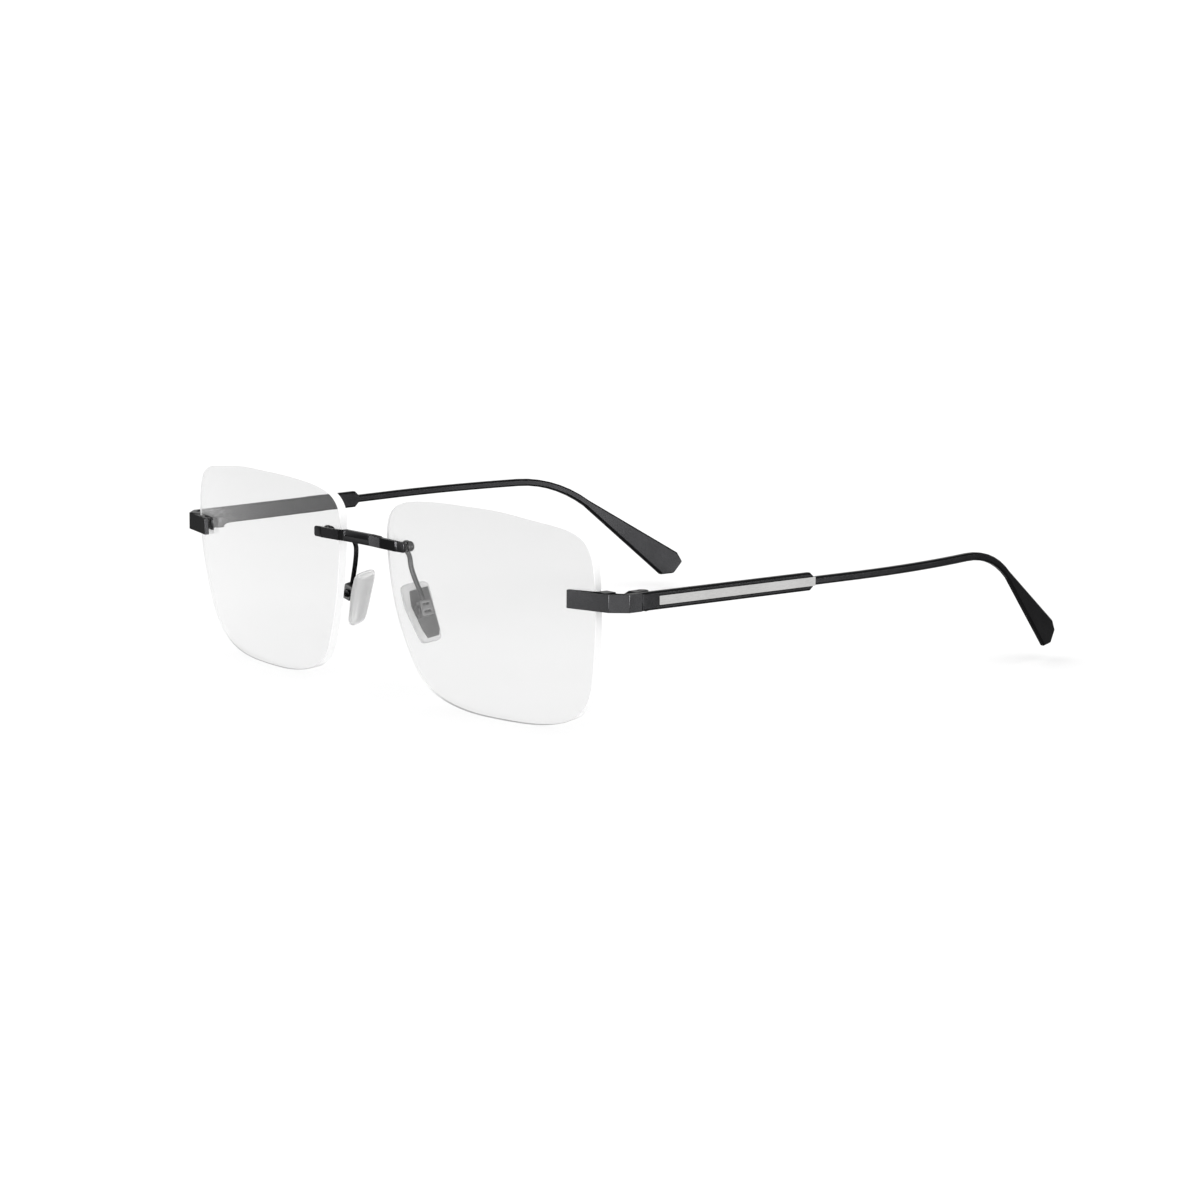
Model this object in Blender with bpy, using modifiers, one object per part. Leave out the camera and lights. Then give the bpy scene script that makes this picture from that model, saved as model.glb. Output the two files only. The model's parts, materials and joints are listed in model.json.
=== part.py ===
"""Rimless eyeglasses, modelled as the separate pieces that they are assembled from.

Frame: +X is the wearer's left, -Y is forward, +Z is up. Lengths are in metres. The shapes are drawn
about a datum midway between the lenses, level with the fronts of the lens centres, at the mid
height of the straight part of the temples. Each finished piece is then moved, so that the origin
of the finished part is the middle of the bridge's front face. Every piece except the bridge is
modelled for the left side and mirrored for the right.
"""

import math

import bmesh
import bpy
from mathutils import Matrix, Vector
from mathutils.geometry import interpolate_bezier

MM = 0.001

# Driving dimensions
LENS_WIDTH = 58.0 * MM
LENS_HEIGHT = 43.2 * MM
BRIDGE_GAP = 16.0 * MM
FRONT_CURVE_RADIUS = 132.7 * MM
LENS_THICKNESS = 1.8 * MM
LENS_DROP = 6.1 * MM  # lens centre below the temple line
PANTOSCOPIC = math.radians(5.5)  # lens top leans forward
WRAP = math.radians(5.5)  # outer lens edge turned back
TEMPLE_HEIGHT = 3.6 * MM
TEMPLE_THICKNESS = 1.5 * MM
WIRE_HEIGHT = 1.65 * MM
JOINT_Y = 11.5 * MM  # where the endpiece meets the temple
WIDE_END_Y = 55.1 * MM  # where the wide part of the temple ends
SPLAY = math.radians(3.36)  # straight part of the temple opens outward
PAD_LENGTH = 12.6 * MM
PAD_WIDTH = 6.3 * MM
PAD_THICKNESS = 2.2 * MM

# Fits
SEAT_GAP = 0.10 * MM  # between pieces that rest on one another
BORE_GAP = 0.10 * MM  # round a pin or stud, per side
RUNNING_GAP = 0.15 * MM  # between pieces that turn past one another

# Fasteners
STUD_RADIUS = 0.6 * MM
BUSH_RADIUS = 0.95 * MM
BUSH_FLANGE_RADIUS = 1.15 * MM
BUSH_FLANGE = 0.2 * MM
NUT_RADIUS = 1.05 * MM
NUT_HEIGHT = 1.1 * MM
NUT_BORE_DEPTH = 0.65 * MM
HINGE_SCREW_RADIUS = 0.45 * MM
PAD_SCREW_RADIUS = 0.35 * MM

# Hinge
HINGE_X = 69.35 * MM
HINGE_Y = 13.9 * MM
KNUCKLE_RADIUS = 1.25 * MM
TONGUE_BOTTOM = 0.35 * MM
TONGUE_TOP = 1.75 * MM
HINGE_HEAD_RADIUS = 0.85 * MM
HINGE_HEAD_SEAT = TONGUE_TOP - 0.3 * MM
KNUCKLE_TOP = TONGUE_BOTTOM - RUNNING_GAP
KNUCKLE_BOTTOM = -2.1 * MM

# Bridge bar: half of its plan and of its front view, from the middle outwards
BAR_FRONT_Y = -2.1 * MM
BAR_HALF = 4.3 * MM
BAR_TOP = 6.3 * MM
BAR_BOTTOM = 4.0 * MM
LEDGE_Z = 4.95 * MM  # a fine ledge across the front, and how far the face above it is set back
LEDGE_SET_BACK = 0.2 * MM
LUG_START = 6.9 * MM
LUG_END = 14.9 * MM
LUG_TOP = 5.88 * MM
LUG_BOTTOM = 3.75 * MM

# The finished part's origin, from the drawing datum
BRIDGE_FRONT = (0.0, BAR_FRONT_Y, 4.6 * MM)

ROUND_STEPS = 20

parts = None
tools = None


def clear_scene():
    for obj in list(bpy.data.objects):
        bpy.data.objects.remove(obj, do_unlink=True)


def make_collections():
    global parts, tools
    parts = bpy.data.collections.new("rimless_eyeglasses")
    tools = bpy.data.collections.new("cutters_and_guides")
    for collection in (parts, tools):
        bpy.context.scene.collection.children.link(collection)


def make_material(name, colour, roughness, metallic, alpha=1.0):
    material = bpy.data.materials.new(name)
    material.use_nodes = True
    shader = material.node_tree.nodes["Principled BSDF"]
    shader.inputs["Base Color"].default_value = (*colour, 1.0)
    shader.inputs["Roughness"].default_value = roughness
    shader.inputs["Metallic"].default_value = metallic
    shader.inputs["Alpha"].default_value = alpha
    material.diffuse_color = (*colour, alpha)
    return material


# --- shapes: each returns a new object in the tools collection, hidden from renders ---


def tool_object(name, data, matrix=None):
    obj = bpy.data.objects.new(name, data)
    tools.objects.link(obj)
    obj.hide_render = True
    obj.display_type = "WIRE"
    if matrix is not None:
        obj.matrix_world = matrix
    bpy.context.view_layer.update()
    return obj


def evaluated_mesh(obj):
    """The object's shape with its modifiers, in world space, welded and with its faces out."""
    graph = bpy.context.evaluated_depsgraph_get()
    mesh = bpy.data.meshes.new_from_object(obj.evaluated_get(graph))
    mesh.transform(obj.matrix_world)
    work = bmesh.new()
    work.from_mesh(mesh)
    bmesh.ops.remove_doubles(work, verts=work.verts, dist=0.0005 * MM)
    bmesh.ops.recalc_face_normals(work, faces=work.faces)
    work.to_mesh(mesh)
    work.free()
    return mesh


def baked_tool(obj):
    """Turns a curve or a modified object into a plain mesh object with its place in its mesh."""
    mesh = evaluated_mesh(obj)
    name = obj.name
    bpy.data.objects.remove(obj, do_unlink=True)
    return tool_object(name, mesh)


def block(name, size, matrix):
    mesh = bpy.data.meshes.new(name)
    work = bmesh.new()
    bmesh.ops.create_cube(work, size=1.0, matrix=Matrix.Diagonal((*size, 1.0)))
    work.to_mesh(mesh)
    work.free()
    return baked_tool(tool_object(name, mesh, matrix))


def prism(name, outline, low, high, matrix):
    """A flat outline in the local XY plane, extruded from low to high along local Z."""
    curve = bpy.data.curves.new(name, "CURVE")
    curve.dimensions = "2D"
    curve.fill_mode = "BOTH"
    curve.extrude = (high - low) / 2
    spline = curve.splines.new("POLY")
    spline.points.add(len(outline) - 1)
    for point, (x, y) in zip(spline.points, outline):
        point.co = (x, y, 0.0, 1.0)
    spline.use_cyclic_u = True
    middle = Matrix.Translation((0.0, 0.0, (low + high) / 2))
    return baked_tool(tool_object(name, curve, matrix @ middle))


def turned(name, profile, matrix, steps=ROUND_STEPS):
    """A profile of (radius, height) points, turned about local Z by a Screw modifier."""
    mesh = bpy.data.meshes.new(name)
    work = bmesh.new()
    verts = [work.verts.new((radius, 0.0, height)) for radius, height in profile]
    for start, end in zip(verts, verts[1:]):
        work.edges.new((start, end))
    if profile[0][0] > 0.0:
        work.edges.new((verts[-1], verts[0]))
    work.to_mesh(mesh)
    work.free()
    obj = tool_object(name, mesh, matrix)
    screw = obj.modifiers.new("turn", "SCREW")
    screw.steps = steps
    screw.render_steps = steps
    screw.use_merge_vertices = True
    screw.merge_threshold = 0.001 * MM
    return baked_tool(obj)


def cylinder(name, radius, low, high, matrix, steps=ROUND_STEPS):
    return turned(name, [(0.0, high), (radius, high), (radius, low), (0.0, low)], matrix, steps)


def wire(name, points, radius):
    curve = bpy.data.curves.new(name, "CURVE")
    curve.dimensions = "3D"
    curve.bevel_depth = radius
    curve.bevel_resolution = 2
    curve.use_fill_caps = True
    spline = curve.splines.new("POLY")
    spline.points.add(len(points) - 1)
    for point, place in zip(spline.points, points):
        point.co = (*place, 1.0)
    return baked_tool(tool_object(name, curve))


def loft(name, rings):
    """A closed solid through rings of equally many points, for a bar whose section changes."""
    mesh = bpy.data.meshes.new(name)
    work = bmesh.new()
    rows = [[work.verts.new(point) for point in ring] for ring in rings]
    count = len(rows[0])
    for row, following in zip(rows, rows[1:]):
        for i in range(count):
            j = (i + 1) % count
            work.faces.new((row[i], row[j], following[j], following[i]))
    work.faces.new(rows[0])
    work.faces.new(rows[-1])
    work.to_mesh(mesh)
    work.free()
    return baked_tool(tool_object(name, mesh))


def combine(obj, other, operation):
    """Joins, cuts or intersects obj with other by an exact Boolean."""
    modifier = obj.modifiers.new(operation.lower(), "BOOLEAN")
    modifier.operation = operation
    modifier.solver = "EXACT"
    modifier.object = other
    return baked_tool(obj)


def cut(obj, *cutters):
    for cutter in cutters:
        obj = combine(obj, cutter, "DIFFERENCE")
    return obj


def join(obj, *others):
    for other in others:
        obj = combine(obj, other, "UNION")
    return obj


# --- finished pieces ---


def place_piece(name, mesh, material, parent):
    mesh.transform(Matrix.Translation(BRIDGE_FRONT).inverted())
    mesh.name = name
    mesh.materials.clear()
    mesh.materials.append(material)
    mesh.shade_smooth()
    mesh.set_sharp_from_angle(angle=math.radians(30))
    obj = bpy.data.objects.new(name, mesh)
    parts.objects.link(obj)
    if parent is not None:
        obj.parent = parent
        obj.matrix_parent_inverse = parent.matrix_world.inverted()
    return obj


def mirrored_mesh(mesh):
    copy = mesh.copy()
    copy.transform(Matrix.Scale(-1.0, 4, (1.0, 0.0, 0.0)))
    copy.flip_normals()
    return copy


def finish_pair(shape, name, material, parents=(None, None)):
    """Keeps a left-hand shape as NAME_left and its mirror image as NAME_right."""
    left = shape.data.copy()
    right = mirrored_mesh(left)
    place_piece(name + "_left", left, material, parents[0])
    place_piece(name + "_right", right, material, parents[1])


def empty_pair(name, location, rotation=(0.0, 0.0, 0.0)):
    """Empties on a joint's axis, on the left and, mirrored, on the right."""
    x, y, z = Vector(location) - Vector(BRIDGE_FRONT)
    pair = []
    for side, label in ((1.0, "left"), (-1.0, "right")):
        empty = bpy.data.objects.new(name + "_" + label, None)
        empty.empty_display_size = 3 * MM
        empty.location = (side * x, y, z)
        empty.rotation_euler = (rotation[0], side * rotation[1], side * rotation[2])
        parts.objects.link(empty)
        pair.append(empty)
    bpy.context.view_layer.update()
    return pair


# --- lens geometry ---


def lens_frame():
    """Local X runs outward across the lens, Y back along its axis and Z up."""
    centre_x = BRIDGE_GAP / 2 + LENS_WIDTH / 2 * math.cos(WRAP)
    place = Matrix.Translation((centre_x, 0.0, -LENS_DROP))
    return place @ Matrix.Rotation(WRAP, 4, "Z") @ Matrix.Rotation(PANTOSCOPIC, 4, "X")


def front_normal_frame():
    """Turns a frame's Z axis to point forward, out of the lens front."""
    return Matrix.Rotation(math.radians(90), 4, "X")


def seat_frame(across, up):
    """A frame on the lens front at a drill hole, with Z along the outward surface normal."""
    back = FRONT_CURVE_RADIUS - math.sqrt(FRONT_CURVE_RADIUS**2 - across**2 - up**2)
    local = Matrix.Translation((across, back, up))
    tilt = Matrix.Rotation(math.asin(across / FRONT_CURVE_RADIUS), 4, "Z")
    lean = Matrix.Rotation(-math.asin(up / FRONT_CURVE_RADIUS), 4, "X")
    return lens_frame() @ local @ tilt @ lean @ front_normal_frame()


def lens_outline():
    """Four sides, each at a distance and a bearing, blended into one smooth rounded outline.

    The blend is a power mean of the four sides. A higher power makes the corners tighter.
    """
    half_width = LENS_WIDTH / 2
    half_height = LENS_HEIGHT / 2
    sides = (
        (math.radians(191.1), 0.922 * half_width),
        (math.radians(-7.2), 0.978 * half_width),
        (math.radians(91.5), 0.960 * half_height),
        (math.radians(-87.9), 0.960 * half_height),
    )
    corner_power = 5.33
    # gentle swells that soften the corners: waves round the outline, cosine part, sine part
    swells = ((2, -0.022, -0.034), (3, -0.003, -0.002), (4, 0.020, 0.001), (6, 0.009, 0.0065))
    points = []
    count = 72
    for i in range(count):
        bearing = 2 * math.pi * i / count
        total = 0.0
        for side_bearing, distance in sides:
            total += max(0.0, math.cos(bearing - side_bearing) / distance) ** corner_power
        radius = total ** (-1.0 / corner_power)
        swell = 1.0
        for waves, cosine, sine in swells:
            swell += cosine * math.cos(waves * bearing) + sine * math.sin(waves * bearing)
        points.append((radius * swell * math.cos(bearing), radius * swell * math.sin(bearing)))
    return points


NASAL_HOLE = (-23.8 * MM, 10.55 * MM)  # across and up from the lens centre
OUTER_HOLE = (25.7 * MM, 6.0 * MM)


def make_lens():
    """A turned blank with a spherical front and back, edged to the outline and drilled."""
    front = FRONT_CURVE_RADIUS
    back = FRONT_CURVE_RADIUS - LENS_THICKNESS
    rim_angle = math.asin(36 * MM / front)
    rings = 6
    angles = [rim_angle * i / rings for i in range(rings + 1)]
    profile = [(front * math.sin(a), front * (math.cos(a) - 1.0)) for a in angles]
    profile += [(back * math.sin(a), back * math.cos(a) - front) for a in reversed(angles)]
    lens = turned("lens_blank", profile, lens_frame() @ front_normal_frame(), steps=48)
    outline = prism(
        "lens_edge_guide",
        lens_outline(),
        -20 * MM,
        10 * MM,
        lens_frame() @ front_normal_frame(),
    )
    lens = combine(lens, outline, "INTERSECT")
    bore = BUSH_RADIUS + BORE_GAP
    for name, hole in (("nasal_drill", NASAL_HOLE), ("outer_drill", OUTER_HOLE)):
        lens = cut(lens, cylinder(name, bore, -4 * MM, 2 * MM, seat_frame(*hole)))
    return lens


def lens_clearance(name, hole, length, height):
    """A slab that stands for the lens front, for shaping what is seated on it."""
    depth = 4 * MM
    middle = Matrix.Translation((0.0, 0.0, SEAT_GAP - depth / 2))
    return block(name, (length, height, depth), seat_frame(*hole) @ middle)


# --- clamping hardware ---


def make_bush(hole):
    """A clear sleeve that lines the lens hole, with its flange on the back of the lens."""
    inner = STUD_RADIUS + BORE_GAP
    back_face = -LENS_THICKNESS - SEAT_GAP / 2
    flange_back = back_face - BUSH_FLANGE
    profile = [
        (inner, -SEAT_GAP),
        (BUSH_RADIUS, -SEAT_GAP),
        (BUSH_RADIUS, back_face),
        (BUSH_FLANGE_RADIUS, back_face),
        (BUSH_FLANGE_RADIUS, flange_back),
        (inner, flange_back),
    ]
    return turned("bush", profile, seat_frame(*hole)), flange_back


def make_nut(hole, front_face):
    """A domed cap nut with a blind bore, on the back of the stack."""
    bore = STUD_RADIUS + BORE_GAP
    wall_end = front_face - 0.45 * MM
    back = front_face - NUT_HEIGHT
    profile = [
        (0.0, front_face - NUT_BORE_DEPTH),
        (bore, front_face - NUT_BORE_DEPTH),
        (bore, front_face),
        (NUT_RADIUS, front_face),
    ]
    dome_steps = 4
    for i in range(dome_steps):
        turn = math.radians(90) * i / dome_steps
        height = wall_end + (back - wall_end) * math.sin(turn)
        profile.append((NUT_RADIUS * math.cos(turn), height))
    profile.append((0.0, back))
    return turned("nut", profile, seat_frame(*hole))


def make_stud(hole, front_end, nut_face):
    """A threaded stud from inside the front piece to inside the cap nut."""
    return cylinder(
        "stud",
        STUD_RADIUS,
        nut_face - NUT_BORE_DEPTH + SEAT_GAP,
        front_end,
        seat_frame(*hole),
        steps=16,
    )


# --- bridge ---


def make_bridge():
    """A flat faceted bar: its plan and its front view intersected, then seated on the lenses."""
    bar_back = BAR_FRONT_Y + 1.25 * MM
    lug_step = 12.3 * MM
    front = [
        (BAR_HALF, BAR_FRONT_Y),
        (LUG_START, -1.4 * MM),
        (lug_step, -1.75 * MM),
        (lug_step + 0.6 * MM, -1.5 * MM),
        (LUG_END, -1.5 * MM),
    ]
    back = [
        (LUG_END, 0.6 * MM),
        (LUG_START, 0.3 * MM),
        (BAR_HALF - 0.3 * MM, bar_back),
    ]
    half = front + back
    plan = half + [(-x, y) for x, y in reversed(half)]
    bridge = prism("bridge_plan", plan, 0.0, 10 * MM, Matrix.Identity(4))

    chamfer = 0.3 * MM
    top = [(BAR_HALF, BAR_TOP), (LUG_START, LUG_TOP), (LUG_END - chamfer, LUG_TOP)]
    bottom = [
        (LUG_END, LUG_TOP - chamfer),
        (LUG_END, LUG_BOTTOM + chamfer),
        (LUG_END - chamfer, LUG_BOTTOM),
        (LUG_START, LUG_BOTTOM),
        (BAR_HALF, BAR_BOTTOM),
    ]
    half = top + bottom
    view = half + [(-x, z) for x, z in reversed(half)]
    upright = Matrix.Rotation(math.radians(90), 4, "X")
    bridge = combine(bridge, prism("bridge_view", view, -5 * MM, 5 * MM, upright), "INTERSECT")

    recess_half = BAR_HALF - 0.4 * MM
    recess = [
        (-recess_half, LEDGE_Z + LEDGE_SET_BACK),
        (recess_half, LEDGE_Z + LEDGE_SET_BACK),
        (recess_half, BAR_TOP + MM),
        (-recess_half, BAR_TOP + MM),
    ]
    front_end = -BAR_FRONT_Y - LEDGE_SET_BACK
    bridge = cut(bridge, prism("bridge_ledge", recess, front_end, front_end + MM, upright))

    bore = STUD_RADIUS + BORE_GAP
    seats = []
    slab = lens_clearance("lug_seat", NASAL_HOLE, 14 * MM, 8 * MM)
    drill = cylinder("lug_drill", bore, -MM, 0.5 * MM, seat_frame(*NASAL_HOLE))
    for tool in (slab, drill):
        seats.append(tool)
        seats.append(tool_object(tool.name + "_right", mirrored_mesh(tool.data)))
    return cut(bridge, *seats)


# --- nose pads ---


PAD_CENTRE = Vector((10.5 * MM, 7.2 * MM, -9.7 * MM))
PAD_TURN = math.radians(-15)  # about Z: the pad's back edge turns outward
PAD_SPLAY = math.radians(-20)  # about Y: the pad's lower end stands outward
PAD_PITCH = math.radians(7)  # about X
PIVOT_OUT = 2.6 * MM  # from the pad's middle out to its pivot, and up
PIVOT_UP = 0.4 * MM
PAD_SLANT_TOP = 1.5 * MM
BOX_WALL = 0.4 * MM
EYE_RADIUS = 0.65 * MM
BOX_INNER_WIDTH = 1.7 * MM
BOX_HEIGHT = 3.2 * MM
BOX_BACK = 0.85 * MM  # inner face of the box's back wall, from the pivot
BOX_MOUTH = -0.7 * MM


def pad_rotation():
    turn = Matrix.Rotation(PAD_TURN, 4, "Z")
    splay = Matrix.Rotation(PAD_SPLAY, 4, "Y")
    pitch = Matrix.Rotation(PAD_PITCH, 4, "X")
    return turn @ splay @ pitch


def pad_frame():
    """Local X points out of the pad's back, Y across it and Z up along it."""
    return Matrix.Translation(PAD_CENTRE) @ pad_rotation()


def pivot_frame():
    """The pad's rocking axis is local Y of this frame."""
    return pad_frame() @ Matrix.Translation((PIVOT_OUT, 0.0, PIVOT_UP))


def across_frame():
    """Turns a frame's Z axis onto its Y axis."""
    return Matrix.Rotation(math.radians(-90), 4, "X")


def core_outline():
    """The core plate, across and up: its front edge slants in towards the foot."""
    return [
        (2.5 * MM, 4.9 * MM),
        (-1.5 * MM, 4.6 * MM),
        (-1.9 * MM, 1.5 * MM),
        (-0.8 * MM, -3.8 * MM),
        (-0.1 * MM, -5.4 * MM),
        (2.3 * MM, -5.2 * MM),
        (2.75 * MM, -4.0 * MM),
    ]


def grown(outline, margin):
    """A convex outline, counter-clockwise, with every side moved out by a margin."""
    ring = [outline[-1]] + outline + [outline[0]]
    return offset_path(ring, -margin)[1:-1]


def facing_out():
    """Turns outline axes so that local X, Y, Z become the pad's Y, Z, X."""
    return Matrix(((0, 0, 1, 0), (1, 0, 0, 0), (0, 1, 0, 0), (0, 0, 0, 1)))


def make_nose_pad():
    """A soft cushion from a coarse cage, with a pocket in its back for the core plate."""
    mesh = bpy.data.meshes.new("pad_cage")
    work = bmesh.new()
    bmesh.ops.create_cube(work, size=2.0)
    long_edges = [e for e in work.edges if abs(e.verts[0].co.z - e.verts[1].co.z) > 1.0]
    bmesh.ops.subdivide_edges(work, edges=long_edges, cuts=2, use_grid_fill=True)
    wide_edges = [e for e in work.edges if abs(e.verts[0].co.y - e.verts[1].co.y) > 1.0]
    bmesh.ops.subdivide_edges(work, edges=wide_edges, cuts=1, use_grid_fill=True)
    for vert in work.verts:
        vert.co.z *= 1.0 if abs(vert.co.z) > 0.5 else 1.9
        if vert.co.x < -0.5 and (abs(vert.co.z) > 0.9 or abs(vert.co.y) > 0.5):
            vert.co.x = -0.35
    work.to_mesh(mesh)
    work.free()
    cage = tool_object("nose_pad", mesh)
    smooth = cage.modifiers.new("soften", "SUBSURF")
    smooth.levels = 2
    smooth.render_levels = 2
    pad = baked_tool(cage)
    low = [min(v.co[i] for v in pad.data.vertices) for i in range(3)]
    high = [max(v.co[i] for v in pad.data.vertices) for i in range(3)]
    size = (PAD_THICKNESS, PAD_WIDTH, PAD_LENGTH)
    for vert in pad.data.vertices:
        for i in range(3):
            share = (vert.co[i] - low[i]) / (high[i] - low[i]) - 0.5
            vert.co[i] = share * size[i]
        # the front edge slants in towards the foot
        if vert.co.y < 0.0 and vert.co.z < PAD_SLANT_TOP:
            depth = (PAD_SLANT_TOP - vert.co.z) / (PAD_SLANT_TOP + PAD_LENGTH / 2)
            vert.co.y *= 1.0 - 0.5 * depth
    pad.data.transform(pad_frame())
    pocket = prism(
        "pad_pocket",
        grown(core_outline(), SEAT_GAP),
        CORE_INNER - SEAT_GAP,
        PAD_THICKNESS,
        pad_frame() @ facing_out(),
    )
    return cut(pad, pocket)


CORE_INNER = 0.45 * MM  # inner and outer faces of the core plate, from the pad's middle
CORE_OUTER = 1.05 * MM


def make_pad_core():
    """A plate in the pad's back with a neck and an eye that hangs in the pad box."""
    plate = prism("pad_core", core_outline(), CORE_INNER, CORE_OUTER, pad_frame() @ facing_out())
    eye_width = BOX_INNER_WIDTH - 2 * RUNNING_GAP
    eye = cylinder(
        "pad_eye",
        EYE_RADIUS,
        -eye_width / 2,
        eye_width / 2,
        pivot_frame() @ across_frame(),
    )
    neck_length = PIVOT_OUT - CORE_OUTER + 0.2 * MM
    middle = Matrix.Translation((-neck_length / 2, 0.0, 0.0))
    neck_size = (neck_length, eye_width - 0.3 * MM, 0.8 * MM)
    neck = block("pad_neck", neck_size, pivot_frame() @ middle)
    bore = PAD_SCREW_RADIUS + BORE_GAP
    drill = cylinder("eye_drill", bore, -3 * MM, 3 * MM, pivot_frame() @ across_frame())
    return cut(join(plate, neck, eye), drill)


def make_pad_box():
    """A channel with two slots in its back wall, closed at its top and open towards the pad."""
    depth = BOX_BACK + BOX_WALL - BOX_MOUTH
    width = BOX_INNER_WIDTH + 2 * BOX_WALL
    centre_x = BOX_MOUTH + depth / 2
    frame = pivot_frame()
    box = block("pad_box", (depth, width, BOX_HEIGHT), frame @ Matrix.Translation((centre_x, 0, 0)))
    channel_size = (4 * MM, BOX_INNER_WIDTH, 2 * BOX_HEIGHT)
    channel_top = BOX_HEIGHT / 2 - BOX_WALL
    channel_middle = (BOX_BACK - channel_size[0] / 2, 0, channel_top - channel_size[2] / 2)
    channel = block("box_channel", channel_size, frame @ Matrix.Translation(channel_middle))
    slots = []
    for z in (0.75 * MM, -0.75 * MM):
        size = (2 * MM, 1.4 * MM, 0.45 * MM)
        slots.append(block("box_slot", size, frame @ Matrix.Translation((1.5 * MM, 0, z))))
    bore = PAD_SCREW_RADIUS + BORE_GAP
    drill = cylinder("box_drill", bore, -3 * MM, 3 * MM, frame @ across_frame())
    return cut(box, channel, *slots, drill)


def make_pad_screw():
    """Runs across the box through the eye, with its head on the front side."""
    half = BOX_INNER_WIDTH / 2 + BOX_WALL
    head = half + SEAT_GAP
    profile = [
        (0.0, half),
        (PAD_SCREW_RADIUS, half),
        (PAD_SCREW_RADIUS, -head),
        (0.85 * MM, -head),
        (0.85 * MM, -head - 0.35 * MM),
        (0.6 * MM, -head - 0.55 * MM),
        (0.0, -head - 0.55 * MM),
    ]
    return turned("pad_screw", profile, pivot_frame() @ across_frame(), steps=16)


EYELET_THICKNESS = 0.65 * MM
EYELET_RADIUS = 1.3 * MM
ARM_RADIUS = 0.5 * MM


def make_pad_arm(eyelet_front):
    """A round wire from an eyelet behind the lens, inward, back and down to the pad box."""
    seat = seat_frame(*NASAL_HOLE)
    eyelet_back = eyelet_front - EYELET_THICKNESS
    eyelet = cylinder("pad_arm", EYELET_RADIUS, eyelet_back, eyelet_front, seat)
    middle = (eyelet_front + eyelet_back) / 2
    start = seat @ Vector((-EYELET_RADIUS, 0.0, middle))
    elbow = Vector((9.6 * MM, 5.35 * MM, 1.0 * MM))
    box_top = pivot_frame() @ Vector((0.3 * MM, 0.0, BOX_HEIGHT / 2 + SEAT_GAP))
    first = interpolate_bezier(
        start,
        start + Vector((-2.4 * MM, 0.6 * MM, 0.2 * MM)),
        elbow + Vector((-0.1 * MM, -0.1 * MM, 2.4 * MM)),
        elbow,
        9,
    )
    last = interpolate_bezier(
        elbow,
        elbow + Vector((0.1 * MM, 0.1 * MM, -2.4 * MM)),
        box_top + Vector((-0.9 * MM, -0.3 * MM, 2.5 * MM)),
        box_top,
        9,
    )
    path = first + last[1:]
    arm = join(eyelet, wire("arm_wire", path, ARM_RADIUS))
    bore = STUD_RADIUS + BORE_GAP
    return cut(arm, cylinder("eyelet_drill", bore, -8 * MM, 2 * MM, seat))


# --- endpiece and hinge ---


def temple_outer_x(y):
    """The outer face of the straight part of the temple and of the endpiece's side plate."""
    return 72.05 * MM + math.tan(SPLAY) * (y - 8.3 * MM)


def offset_path(path, distance):
    """A path moved sideways to its left by a distance, with mitred corners."""
    moved = []
    for i, point in enumerate(path):
        point = Vector(point)
        before = Vector(path[i]) - Vector(path[i - 1]) if i > 0 else None
        after = Vector(path[i + 1]) - point if i < len(path) - 1 else None
        runs = [run.normalized() for run in (before, after) if run is not None]
        normals = [Vector((-run.y, run.x)) for run in runs]
        middle = sum(normals, Vector((0.0, 0.0))).normalized()
        moved.append(point + middle * (distance / middle.dot(normals[0])))
    return [tuple(point) for point in moved]


def make_endpiece():
    """A strip bent round the lens corner, with an upper hinge tongue on its inner side."""
    outer = [
        (60.0 * MM, 2.75 * MM),
        (69.35 * MM, 5.3 * MM),
        (temple_outer_x(8.3 * MM), 8.3 * MM),
        (temple_outer_x(JOINT_Y), JOINT_Y - SEAT_GAP / 2),
    ]
    inner = offset_path(outer, 1.25 * MM)
    outline = outer + inner[::-1]
    half = TEMPLE_HEIGHT / 2
    flat = Matrix.Identity(4)
    body = prism("endpiece", outline, -half, half, flat)
    body = cut(body, lens_clearance("endpiece_seat", OUTER_HOLE, 12 * MM, 8 * MM))

    reach = KNUCKLE_RADIUS
    root_y = 7.2 * MM
    root_top = 1.2 * MM
    side = [
        (root_y, TONGUE_BOTTOM),
        (HINGE_Y, TONGUE_BOTTOM),
        (HINGE_Y, TONGUE_TOP),
        (11.4 * MM, TONGUE_TOP),
        (10.0 * MM, root_top),
        (root_y, root_top),
    ]
    half_tongue = 0.92 * reach
    low, high = HINGE_X - half_tongue, HINGE_X + half_tongue
    tongue = prism("hinge_tongue", side, low, high, facing_out())
    # a small block behind the bend that rests on the lens edge and keeps the lens from turning
    rest_size = (2.7 * MM, 2.7 * MM, 3.1 * MM)
    rest_place = Matrix.Translation((67.25 * MM, 6.55 * MM, 0.35 * MM))
    edge_rest = block("edge_rest", rest_size, rest_place)
    pin = Matrix.Translation((HINGE_X, HINGE_Y, 0.0))
    barrel = cylinder("hinge_barrel", reach, TONGUE_BOTTOM, TONGUE_TOP, pin)
    body = join(body, edge_rest, tongue, barrel)
    bore = cylinder("tongue_bore", HINGE_SCREW_RADIUS + BORE_GAP, -4 * MM, 4 * MM, pin)
    head_bore = cylinder(
        "head_bore",
        HINGE_HEAD_RADIUS + BORE_GAP,
        HINGE_HEAD_SEAT - SEAT_GAP / 2,
        4 * MM,
        pin,
    )
    stud_bore = cylinder(
        "plate_bore",
        STUD_RADIUS + BORE_GAP,
        -MM,
        0.7 * MM,
        seat_frame(*OUTER_HOLE),
    )
    return cut(body, bore, head_bore, stud_bore)


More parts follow.
